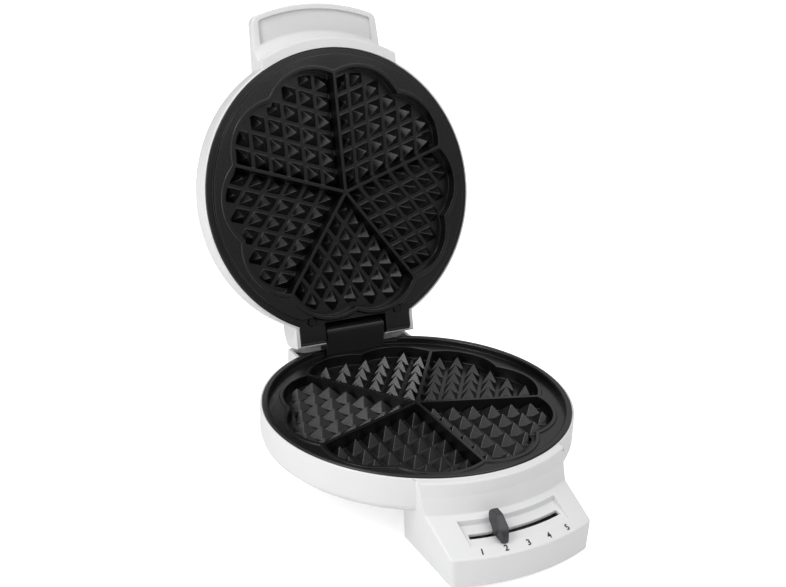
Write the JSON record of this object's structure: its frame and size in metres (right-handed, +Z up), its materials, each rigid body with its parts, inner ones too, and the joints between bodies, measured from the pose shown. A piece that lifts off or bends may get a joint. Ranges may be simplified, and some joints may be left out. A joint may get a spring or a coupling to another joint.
{
  "type": "heart waffle maker",
  "caption": "Countertop waffle maker with a hinged lid, non-stick plates for a flower of heart waffles, and a front nose with a sliding temperature selector.",
  "frame": {"origin": "bottom centre of the bounding box, on the table under the feet, with the lid open", "axes": "+X to the right of a user at the control nose, +Y towards the hinge, +Z up"},
  "size_m": [0.205, 0.3182, 0.2846],
  "materials": {
    "white_housing": "satin moulded white plastic",
    "white_cover": "matt moulded white plastic",
    "nonstick_plate": "satin black non-stick coating on cast aluminium",
    "hinge_black": "satin black heat-resistant plastic",
    "selector_charcoal": "satin charcoal plastic",
    "steel_tube": "drawn steel tube",
    "steel_sheet": "pressed steel sheet",
    "steel_screw": "zinc-plated steel",
    "black_screw": "blackened steel",
    "ceramic_body": "pale ceramic-filled plastic",
    "foot_rubber": "soft grey rubber"
  },
  "bodies": {
    "base": {"base_shell": "white_housing", "lower_plate": "nonstick_plate", "lower_heater": "steel_tube", "lower_heater_clips": "steel_sheet", "lower_clip_screws": "steel_screw", "lower_heat_shield": "steel_sheet", "plate_screws": "steel_screw", "thermostat": "ceramic_body", "thermostat_strap": "steel_sheet", "strap_screws": "steel_screw", "thermal_fuse": "ceramic_body", "terminal_block": "ceramic_body", "cord_gland": "hinge_black", "hinge_block": "hinge_black", "hinge_pin": "steel_screw", "hinge_block_screws": "steel_screw", "bottom_cover": "white_cover", "nose_cover": "white_cover", "bottom_screws": "steel_screw", "rear_feet": "foot_rubber", "nose_feet": "foot_rubber"},
    "selector": {"thermostat_shaft": "steel_screw", "control_lever": "selector_charcoal", "slider_knob": "selector_charcoal"},
    "lid": {"lid_shell": "white_housing", "handle_liner": "white_cover", "upper_plate": "nonstick_plate", "ear_screws": "black_screw", "upper_heater": "steel_tube", "upper_heater_clips": "steel_sheet", "upper_clip_screws": "steel_screw", "upper_heat_shield": "steel_sheet", "upper_shield_screws": "steel_screw"}
  },
  "joints": [
    {"name": "lid_hinge", "type": "hinge", "parent": "base", "child": "lid", "pos_m": [0, 0.07772, 0.0619], "axis": [1, 0, 0], "range_deg": [0, 105.3]},
    {"name": "temperature_selector", "type": "hinge", "parent": "base", "child": "selector", "pos_m": [0, -0.02178, 0.0225], "axis": [0, 0, 1], "range_deg": [-6.3, 18.7]}
  ]
}
